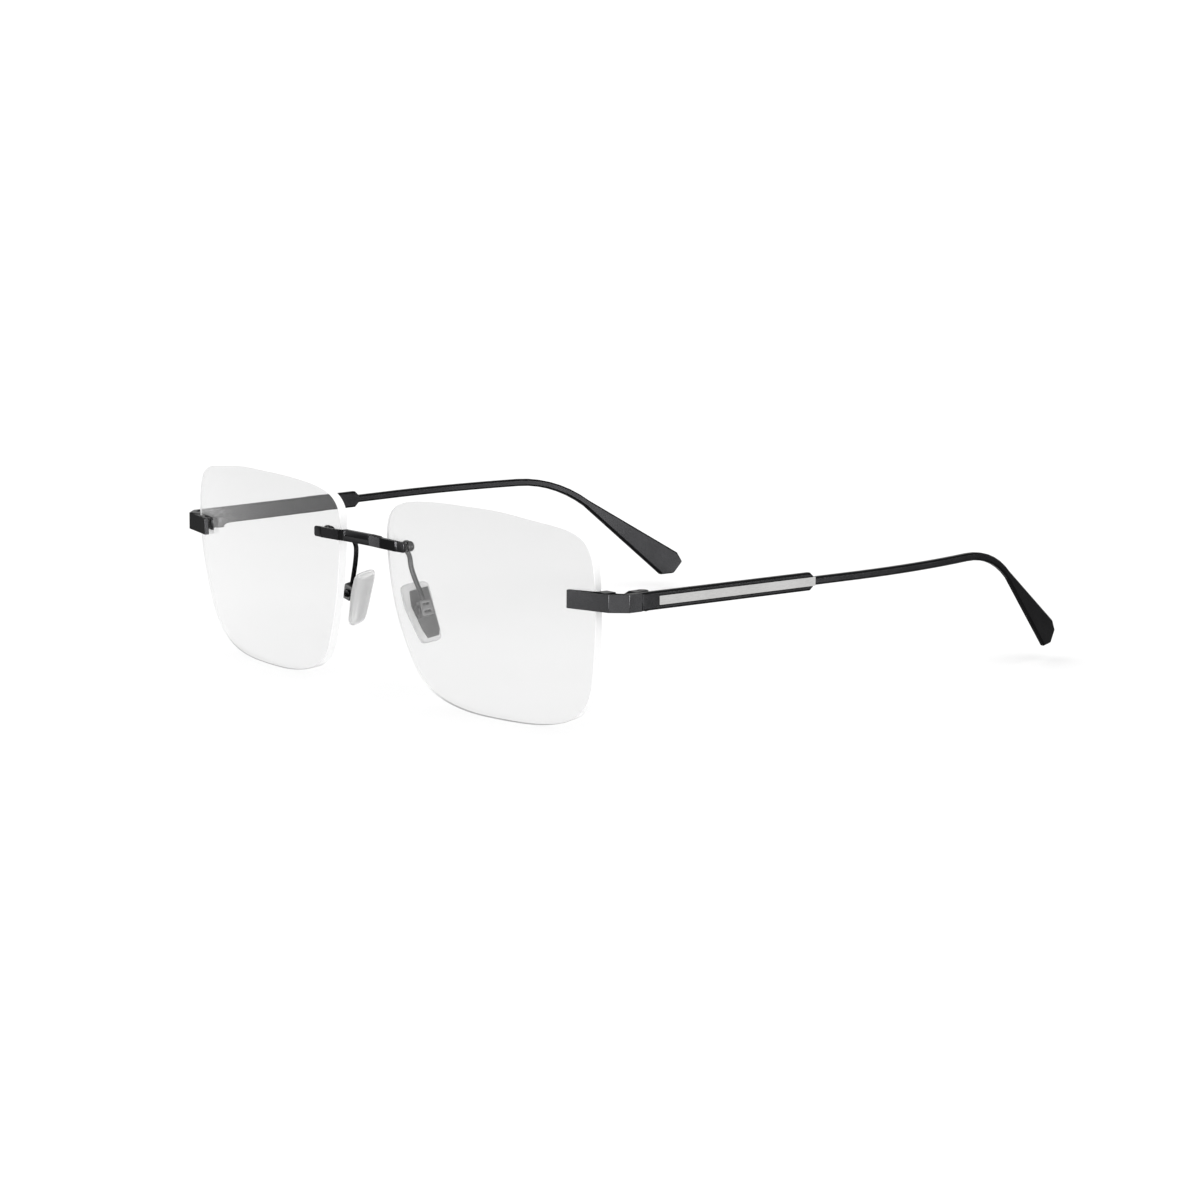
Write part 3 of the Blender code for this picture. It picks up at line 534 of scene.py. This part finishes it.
def make_edge_material():
    """The finely ground edge of a lens, which scatters light, with painted shade that greys it along
    its foot.
    """
    shader = Shader("ground_lens_edge")
    place = shader.place()
    grind = shader.noise(place, 6000.0, 2.0)
    tint = shader.ramp(grind, [(0.3, grey(0.92)), (0.7, grey(0.95))])
    foot = LENS_CENTRE_Z - LENS_HEIGHT / 2
    # painted shade: the edge turns grey towards the foot of the lens
    painted_shade_foot = shader.along_z(place, foot + 1.5 * MM, foot + 4.0 * MM)
    shade = shader.mix(painted_shade_foot, (0.38, 0.38, 0.38, 1.0), tint)
    shader.link(shade, shader.principled.inputs[0])
    shader.link(shader.spread(grind, 0.4, 0.55), shader.principled.inputs["Roughness"])
    shader.set(IOR=1.53)
    shader.bump(grind, 0.003 * MM, 0.3)
    see_through(shader, 0.94)
    return shader.material


def make_bush_material():
    """Smoky clear plastic."""
    shader = Shader("clear_bush_plastic")
    flow = shader.noise(shader.place(), 2500.0, 2.0)
    tint = shader.ramp(flow, [(0.3, grey(0.50)), (0.7, grey(0.56))])
    shader.link(tint, shader.principled.inputs[0])
    shader.link(shader.spread(flow, 0.08, 0.2), shader.principled.inputs["Roughness"])
    shader.set(IOR=1.49, Transmission_Weight=0.9)
    see_through(shader, 0.9)
    return shader.material


def make_silicone():
    """Milky soft silicone: part clear, part scattering, with a faint satin skin."""
    shader = Shader("milky_silicone")
    place = shader.place()
    cloud = shader.noise(place, 350.0, 3.0)
    skin = shader.noise(place, 5000.0, 2.0)
    base = shader.ramp(cloud, [(0.3, grey(0.84)), (0.7, grey(0.87))])
    shader.link(base, shader.principled.inputs[0])
    shader.link(shader.spread(skin, 0.10, 0.15), shader.principled.inputs["Roughness"])
    shader.set(IOR=1.41, Transmission_Weight=0.6)
    see_through(shader, 0.75)
    return shader.material


def make_hole_wall_shade():
    """A dark colour on the wall of a drilled hole as painted shade, which stops the hole from glowing
    white.
    """
    shader = Shader("hole_wall_painted_shade")
    grain = shader.noise(shader.place(), 4000.0, 2.0)
    # painted shade: near-black colour on the hole wall
    tint = shader.ramp(grain, [(0.3, grey(0.03)), (0.7, grey(0.05))])
    shader.link(tint, shader.principled.inputs[0])
    shader.link(shader.spread(grain, 0.35, 0.5), shader.principled.inputs["Roughness"])
    return shader.material


gunmetal = make_gunmetal()
satin = make_satin()
core_metal = make_blasted_metal("core_plate_metal", 0.021, 0.027)
box_metal = make_blasted_metal("pad_box_metal", 0.045, 0.055)
lens_plastic = make_lens_material()
lens_edge = make_edge_material()
hole_wall_shade = make_hole_wall_shade()
bush_plastic = make_bush_material()
silicone = make_silicone()
STRIP_LIT = (gunmetal, core_metal, box_metal)


# --- lenses ---


def lens_frame():
    """Local X runs outward across the lens, Y back along its axis and Z up."""
    centre_x = BRIDGE_GAP / 2 + LENS_WIDTH / 2 * math.cos(WRAP)
    place = Matrix.Translation((centre_x, LENS_CENTRE_Y, LENS_CENTRE_Z))
    return place @ Matrix.Rotation(WRAP, 4, "Z") @ Matrix.Rotation(PANTOSCOPIC, 4, "X")


def seat_frame(across, up):
    """A frame on the lens front at a drill hole, with Z along the outward surface normal."""
    back = FRONT_CURVE_RADIUS - math.sqrt(FRONT_CURVE_RADIUS**2 - across**2 - up**2)
    tilt = Matrix.Rotation(math.asin(across / FRONT_CURVE_RADIUS), 4, "Z")
    lean = Matrix.Rotation(-math.asin(up / FRONT_CURVE_RADIUS), 4, "X")
    forward = Matrix.Rotation(math.radians(90), 4, "X")
    return lens_frame() @ Matrix.Translation((across, back, up)) @ tilt @ lean @ forward


def outline_radius(bearing):
    """Four sides blended by a power mean, with gentle swells that soften the corners."""
    sides = (
        (math.radians(191.1), 0.922 * LENS_WIDTH / 2),
        (math.radians(-7.2), 0.978 * LENS_WIDTH / 2),
        (math.radians(91.5), 0.960 * LENS_HEIGHT / 2),
        (math.radians(-87.9), 0.960 * LENS_HEIGHT / 2),
    )
    swells = ((2, -0.022, -0.034), (3, -0.003, -0.002), (4, 0.020, 0.001), (6, 0.009, 0.0065))
    power = 5.33
    total = 0.0
    for side_bearing, distance in sides:
        total += max(0.0, math.cos(bearing - side_bearing) / distance) ** power
    swell = 1.0
    for waves, cosine, sine in swells:
        swell += cosine * math.cos(waves * bearing) + sine * math.sin(waves * bearing)
    return total ** (-1.0 / power) * swell


def lens_rings():
    """Rings of points from the middle of the front, over the edge, to the middle of the back."""
    rows = [(share, EDGE_BEVEL, 0.0) for share in FACE_SHARES]
    rows += [(1.0, EDGE_BEVEL, 0.0), (1.0, 0.0, EDGE_BEVEL)]
    rings = []
    for radius, sign in ((FRONT_CURVE_RADIUS, 1.0), (FRONT_CURVE_RADIUS - LENS_THICKNESS, -1.0)):
        side = []
        for share, inset, depth in rows:
            ring = []
            for i in range(LENS_STEPS):
                bearing = 2 * math.pi * i / LENS_STEPS
                reach = share * (outline_radius(bearing) - inset)
                sag = FRONT_CURVE_RADIUS - math.sqrt(radius**2 - reach**2)
                x, z = reach * math.cos(bearing), reach * math.sin(bearing)
                ring.append((x, sag + sign * depth, z))
            side.append(ring)
        rings += side if sign > 0 else side[::-1]
    return rings


def drilled(mesh, hole):
    """Drills one hole through a lens and paints its wall dark with the painted shade material."""
    seat = seat_frame(*hole)
    front, back = 2 * MM, -4 * MM
    profile = [(0.0, front), (DRILL_RADIUS, front), (DRILL_RADIUS, back), (0.0, back)]
    mesh = boolean(mesh, turned(profile, seat), "DIFFERENCE")
    to_hole = seat.inverted()
    # the hole wall takes the painted shade material
    wall_reach = 1.01 * DRILL_RADIUS
    for face in mesh.polygons:
        places = [to_hole @ mesh.vertices[index].co for index in face.vertices]
        if all(place.xy.length < wall_reach for place in places):
            face.material_index = 2
    return mesh


def lens_mesh():
    """Two spherical faces and a ground edge with a small safety bevel front and back."""
    work = bmesh.new()
    rows = [[work.verts.new(point) for point in ring] for ring in lens_rings()]
    work.verts.index_update()
    edge_rows = rows[len(FACE_SHARES) : len(rows) - len(FACE_SHARES)]
    walls = {vert.index for row in edge_rows for vert in row}
    for row, following in zip(rows, rows[1:]):
        for i in range(LENS_STEPS):
            j = (i + 1) % LENS_STEPS
            work.faces.new((row[i], row[j], following[j], following[i]))
    for row, depth in ((rows[0], 0.0), (rows[-1], LENS_THICKNESS)):
        middle = work.verts.new((0.0, depth, 0.0))
        for i in range(LENS_STEPS):
            work.faces.new((row[i], row[(i + 1) % LENS_STEPS], middle))
    for face in work.faces:
        face.material_index = 1 if all(v.index in walls for v in face.verts) else 0
    mesh = mesh_from(work)
    for material in (lens_plastic, lens_edge, hole_wall_shade):
        mesh.materials.append(material)
    mesh.transform(lens_frame())
    for hole in (NASAL_HOLE, OUTER_HOLE):
        mesh = drilled(mesh, hole)
    return mesh


finish_sides("lens", lens_mesh(), None, crease=12.0)


# --- clamping hardware ---


def bush_mesh(hole):
    """A bush that lines a drilled hole, with a flange behind the lens."""
    inner = STUD_RADIUS + BUSH_FIT
    back_face = -LENS_THICKNESS - SEAT_GAP / 2
    flange_back = back_face - BUSH_FLANGE
    soft = 0.05 * MM
    profile = [
        (inner, -SEAT_GAP),
        (BUSH_RADIUS - soft, -SEAT_GAP),
        (BUSH_RADIUS, -SEAT_GAP - soft),
        (BUSH_RADIUS, back_face),
        (BUSH_FLANGE_RADIUS, back_face),
        (BUSH_FLANGE_RADIUS, flange_back + soft),
        (BUSH_FLANGE_RADIUS - soft, flange_back),
        (inner, flange_back),
    ]
    return turned(profile, seat_frame(*hole)), flange_back


def nut_mesh(hole, front_face):
    """A domed cap nut with a small bevel at its foot."""
    back = front_face - NUT_HEIGHT
    wall_end = front_face - NUT_WALL
    soft = 0.07 * MM
    profile = [(0.0, front_face), (NUT_RADIUS - soft, front_face), (NUT_RADIUS, front_face - soft)]
    steps = 9
    for i in range(steps):
        turn = math.radians(90) * i / steps
        height = wall_end + (back - wall_end) * math.sin(turn)
        profile.append((NUT_RADIUS * math.cos(turn), height))
    profile.append((0.0, back))
    return turned(profile, seat_frame(*hole))


def stud_mesh(hole, front_end, nut_face):
    """A stud whose shank carries a fine thread."""
    chamfer = 0.1 * MM
    back_end = nut_face - chamfer
    profile = [(0.0, front_end), (STUD_END_RADIUS, front_end)]
    height = front_end - chamfer
    while height > nut_face + chamfer:
        profile.append((STUD_RADIUS, height))
        profile.append((STUD_RADIUS - THREAD_DEPTH, height - THREAD_PITCH / 2))
        height -= THREAD_PITCH
    profile += [(STUD_END_RADIUS, back_end), (0.0, back_end)]
    return turned(profile, seat_frame(*hole), 28)


bush, flange_back = bush_mesh(NASAL_HOLE)
bridge_nut_face = flange_back - SEAT_GAP - EYELET_THICKNESS
finish_sides("bridge_bush", bush, bush_plastic)
finish_sides("bridge_nut", nut_mesh(NASAL_HOLE, bridge_nut_face), gunmetal)
stud = stud_mesh(NASAL_HOLE, BRIDGE_STUD_FRONT, bridge_nut_face)
finish_sides("bridge_stud", stud, gunmetal)
bush, flange_back = bush_mesh(OUTER_HOLE)
outer_nut_face = flange_back - SEAT_GAP - CLAMP_THICKNESS
finish_sides("endpiece_bush", bush, bush_plastic)
finish_sides("endpiece_nut", nut_mesh(OUTER_HOLE, outer_nut_face), gunmetal)
stud = stud_mesh(OUTER_HOLE, OUTER_STUD_FRONT, outer_nut_face)
finish_sides("endpiece_stud", stud, gunmetal)


# --- nose pads and their arms ---


def pad_frame():
    """Local X points out of the pad's back, Y across it and Z up along it."""
    turn = Matrix.Rotation(PAD_TURN, 4, "Z")
    splay = Matrix.Rotation(PAD_SPLAY, 4, "Y")
    pitch = Matrix.Rotation(PAD_PITCH, 4, "X")
    return Matrix.Translation(PAD_CENTRE) @ turn @ splay @ pitch


def core_pocket():
    """The opening in the pad's back, across and up, a little larger than the core plate."""
    return [
        (2.62 * MM, 5.02 * MM),
        (-1.60 * MM, 4.70 * MM),
        (-2.01 * MM, 1.50 * MM),
        (-0.90 * MM, -3.83 * MM),
        (-0.17 * MM, -5.51 * MM),
        (2.38 * MM, -5.30 * MM),
        (2.86 * MM, -4.01 * MM),
    ]


def pad_cage():
    """A coarse box with three rows of faces, its nose side crowned by drawing in its rim."""
    work = bmesh.new()
    bmesh.ops.create_cube(work, size=2.0)
    tall = [e for e in work.edges if abs(e.verts[0].co.z - e.verts[1].co.z) > 1.0]
    bmesh.ops.subdivide_edges(work, edges=tall, cuts=2, use_grid_fill=True)
    wide = [e for e in work.edges if abs(e.verts[0].co.y - e.verts[1].co.y) > 1.0]
    bmesh.ops.subdivide_edges(work, edges=wide, cuts=1, use_grid_fill=True)
    for vert in work.verts:
        vert.co.z *= 1.0 if abs(vert.co.z) > 0.5 else 1.9
        if vert.co.x < -0.5 and (abs(vert.co.z) > 0.9 or abs(vert.co.y) > 0.5):
            vert.co.x = -0.35
    return temporary("pad_cage", mesh_from(work))


def nose_pad_mesh():
    """A soft cushion from a coarse cage, with a pocket in its back for the core plate."""
    cage = pad_cage()
    cage.modifiers.new("soften", "SUBSURF").levels = 5
    mesh = baked(cage)
    points = [vert.co.copy() for vert in mesh.vertices]
    low = [min(point[i] for point in points) for i in range(3)]
    high = [max(point[i] for point in points) for i in range(3)]
    for vert in mesh.vertices:
        for i in range(3):
            vert.co[i] = ((vert.co[i] - low[i]) / (high[i] - low[i]) - 0.5) * PAD_SIZE[i]
        # the front edge slants in towards the foot, starting gently
        if vert.co.y < 0.0 and vert.co.z < PAD_SLANT_TOP:
            depth = (PAD_SLANT_TOP - vert.co.z) / (PAD_SLANT_TOP + PAD_SIZE[2] / 2)
            vert.co.y *= 1.0 - 0.5 * depth
    mesh.transform(pad_frame())
    axes = Matrix(((0, 0, 1, 0), (1, 0, 0, 0), (0, 1, 0, 0), (0, 0, 0, 1)))
    pocket = plate_mesh(core_pocket(), CORE_INNER - SEAT_GAP, PAD_SIZE[0], pad_frame() @ axes)
    return boolean(mesh, pocket, "DIFFERENCE")


def slotted(mesh, place, head_top):
    """Cuts a driver slot across a screw head whose top is at a height along local Z."""
    width, depth = SCREW_SLOT
    middle = Matrix.Translation((0.0, 0.0, head_top))
    slot = box_mesh((SLOT_CUTTER, width, 2 * depth), place @ middle)
    return boolean(mesh, slot, "DIFFERENCE")


def pad_screw_mesh():
    """A screw across the pad box, with a low rounded head."""
    head = BOX_HALF_WIDTH + SEAT_GAP
    head_top = head + PAD_HEAD_HEIGHT
    profile = [
        (0.0, -BOX_HALF_WIDTH),
        (PAD_SCREW_RADIUS, -BOX_HALF_WIDTH),
        (PAD_SCREW_RADIUS, head),
        (PAD_HEAD_RADIUS - 0.05 * MM, head),
        (PAD_HEAD_RADIUS, head + 0.05 * MM),
        (PAD_HEAD_RADIUS, head_top - 0.20 * MM),
        (PAD_HEAD_RADIUS - 0.09 * MM, head_top - 0.05 * MM),
        (PAD_HEAD_RADIUS - 0.25 * MM, head_top),
        (0.0, head_top),
    ]
    along_screw = Matrix.Rotation(math.radians(90), 4, "X")
    place = pad_frame() @ Matrix.Translation(PIVOT) @ along_screw
    return slotted(turned(profile, place, 36), place, head_top)


def curve_points(start, first, second, end):
    """Points on a cubic curve with two handles."""
    steps = 24
    points = []
    for i in range(steps + 1):
        t = i / steps
        u = 1.0 - t
        points.append(u**3 * start + 3 * u * u * t * first + 3 * u * t * t * second + t**3 * end)
    return points


def wire_mesh(path):
    """A closed round wire along a path."""
    curve = bpy.data.curves.new("wire", "CURVE")
    curve.dimensions = "3D"
    curve.bevel_depth = ARM_RADIUS
    curve.bevel_resolution = 4
    curve.use_fill_caps = True
    spline = curve.splines.new("POLY")
    spline.points.add(len(path) - 1)
    for point, place in zip(spline.points, path):
        point.co = (*place, 1.0)
    wire = baked(temporary("wire", curve))
    work = bmesh.new()
    work.from_mesh(wire)
    bmesh.ops.remove_doubles(work, verts=work.verts, dist=WELD)
    return mesh_from(work)


def pad_arm_mesh(eyelet_front):
    """A round wire from an eyelet behind the lens, inward, back and down to the pad box."""
    seat = seat_frame(*NASAL_HOLE)
    back = eyelet_front - EYELET_THICKNESS
    soft = 0.12 * MM
    bore = STUD_RADIUS + EYELET_FIT
    profile = [
        (bore, eyelet_front),
        (EYELET_RADIUS - soft, eyelet_front),
        (EYELET_RADIUS, eyelet_front - soft),
        (EYELET_RADIUS, back + soft),
        (EYELET_RADIUS - soft, back),
        (bore, back),
    ]
    start = seat @ Vector((-0.92 * EYELET_RADIUS, 0.0, (eyelet_front + back) / 2))
    pivot = pad_frame() @ Matrix.Translation(PIVOT)
    box_top = pivot @ Vector((0.3 * MM, 0.0, BOX_HALF_HEIGHT + SEAT_GAP / 2))
    path = curve_points(start, start + LEAVE_EYELET, ELBOW + ABOVE_ELBOW, ELBOW)
    path += curve_points(ELBOW, ELBOW - ABOVE_ELBOW, box_top + ABOVE_BOX, box_top)[1:]
    return boolean(turned(profile, seat), wire_mesh(path), "UNION")


pad_bodies = ("pad_left", "pad_right")
finish_sides("nose_pad", nose_pad_mesh(), silicone, pad_bodies, crease=50.0)
finish_sides("pad_screw", pad_screw_mesh(), gunmetal, crease=40.0)
eyelet_face = bridge_nut_face + EYELET_THICKNESS + SEAT_GAP / 2
finish_sides("pad_arm", pad_arm_mesh(eyelet_face), gunmetal, crease=50.0)


# --- hinge screws ---


def hinge_screw_mesh():
    """A screw down through the hinge, its head sunk level with the top."""
    chamfer = 0.1 * MM
    profile = [
        (0.0, HINGE_HEAD_TOP),
        (HINGE_HEAD_RADIUS - chamfer, HINGE_HEAD_TOP),
        (HINGE_HEAD_RADIUS, HINGE_HEAD_TOP - chamfer),
        (HINGE_HEAD_RADIUS, HINGE_HEAD_SEAT),
        (HINGE_SCREW_RADIUS, HINGE_HEAD_SEAT),
        (HINGE_SCREW_RADIUS, HINGE_SCREW_FOOT),
        (0.0, HINGE_SCREW_FOOT),
    ]
    place = Matrix.Translation(HINGE_PIN) @ Matrix.Rotation(math.radians(20), 4, "Z")
    return slotted(turned(profile, place), place, HINGE_HEAD_TOP)


finish_sides("hinge_screw", hinge_screw_mesh(), gunmetal, crease=40.0)


# --- metal pieces taken from the CAD model ---

softened_node("bridge", gunmetal, "front", width=0.10 * MM)
for side, _ in SIDES:
    softened_node("endpiece_" + side, gunmetal, "front", width=0.09 * MM)
    softened_node("clamp_plate_" + side, gunmetal, "front", width=0.08 * MM)
    box, core, pad = "pad_box_" + side, "pad_core_" + side, "pad_" + side
    softened_node(box, box_metal, "front", width=0.05 * MM, merge_flats=False)
    softened_node(core, core_metal, pad, width=0.06 * MM, merge_flats=False)
    softened_node("temple_" + side, gunmetal, "temple_" + side, width=0.06 * MM)
    softened_node("temple_inlay_" + side, satin, "temple_" + side, width=0.05 * MM)


# --- floor, light and camera ---


def make_floor():
    """A large pale sheet under the lenses and the temple tips."""
    low = cad_box[0][2]
    work = bmesh.new()
    bmesh.ops.create_circle(work, cap_ends=True, radius=FLOOR_RADIUS, segments=96)
    mesh = mesh_from(work)
    mesh.transform(Matrix.Translation((0.0, MIDDLE.y, low)))
    shader = Shader("pale_floor")
    fleck = shader.noise(shader.place(), 40.0, 2.0)
    base = shader.ramp(fleck, [(0.3, grey(0.90)), (0.7, grey(0.91))])
    shader.link(base, shader.principled.inputs[0])
    shader.set(Roughness=0.9, Specular_IOR_Level=0.0)
    mesh.materials.append(shader.material)
    temporary("floor", mesh)


def make_world():
    """An even white light from all round."""
    world = bpy.data.worlds.new("white_studio")
    world.use_nodes = True
    background = world.node_tree.nodes["Background"]
    background.inputs["Color"].default_value = (1.0, 1.0, 1.0, 1.0)
    background.inputs["Strength"].default_value = WORLD_STRENGTH
    bpy.context.scene.world = world


def strip_light(azimuth, watts, receivers):
    """A low strip of light round the glasses that only gives its shine to the metal."""
    turn = math.radians(azimuth)
    back = Vector((math.sin(turn), -math.cos(turn), 0.0))
    light = bpy.data.lights.new("strip_light_" + str(azimuth), "AREA")
    light.shape = "RECTANGLE"
    light.size = STRIP_WIDTH
    light.size_y = STRIP_HEIGHT
    light.energy = watts
    obj = temporary(light.name, light)
    obj.location = MIDDLE + STRIP_DISTANCE * back
    obj.rotation_mode = "QUATERNION"
    obj.rotation_quaternion = (-back).to_track_quat("-Z", "Y")
    obj.visible_camera = False
    obj.visible_transmission = False
    obj.visible_diffuse = False
    obj.light_linking.receiver_collection = receivers


def metal_pieces():
    """A collection of the pieces that the strip lights shine on."""
    receivers = bpy.data.collections.new("lit_by_strips")
    for obj in bpy.context.scene.objects:
        if obj.type == "MESH" and obj.data.materials and obj.data.materials[0] in STRIP_LIT:
            receivers.objects.link(obj)
    return receivers


def make_camera():
    """The camera, at the wearer's front left and a little above."""
    level = math.cos(VIEW_ELEVATION)
    across, forward = math.sin(VIEW_AZIMUTH), math.cos(VIEW_AZIMUTH)
    back = Vector((across * level, -forward * level, math.sin(VIEW_ELEVATION)))
    flat_right = Vector((forward, across, 0.0))
    flat_up = back.cross(flat_right)
    right = math.cos(VIEW_ROLL) * flat_right + math.sin(VIEW_ROLL) * flat_up
    up = math.cos(VIEW_ROLL) * flat_up - math.sin(VIEW_ROLL) * flat_right
    data = bpy.data.cameras.new("photo_view")
    data.sensor_width = SENSOR_WIDTH
    data.lens = FOCAL_LENGTH
    data.clip_start = 0.01
    data.clip_end = 50.0
    camera = temporary("photo_view", data)
    place = Matrix((right, up, back)).transposed().to_4x4()
    place.translation = CAMERA_PLACE
    camera.matrix_world = place
    bpy.context.scene.camera = camera


make_floor()
make_world()
receivers = metal_pieces()
for azimuth, watts in STRIPS:
    strip_light(azimuth, watts, receivers)
make_camera()
bpy.context.scene.view_settings.view_transform = "Standard"
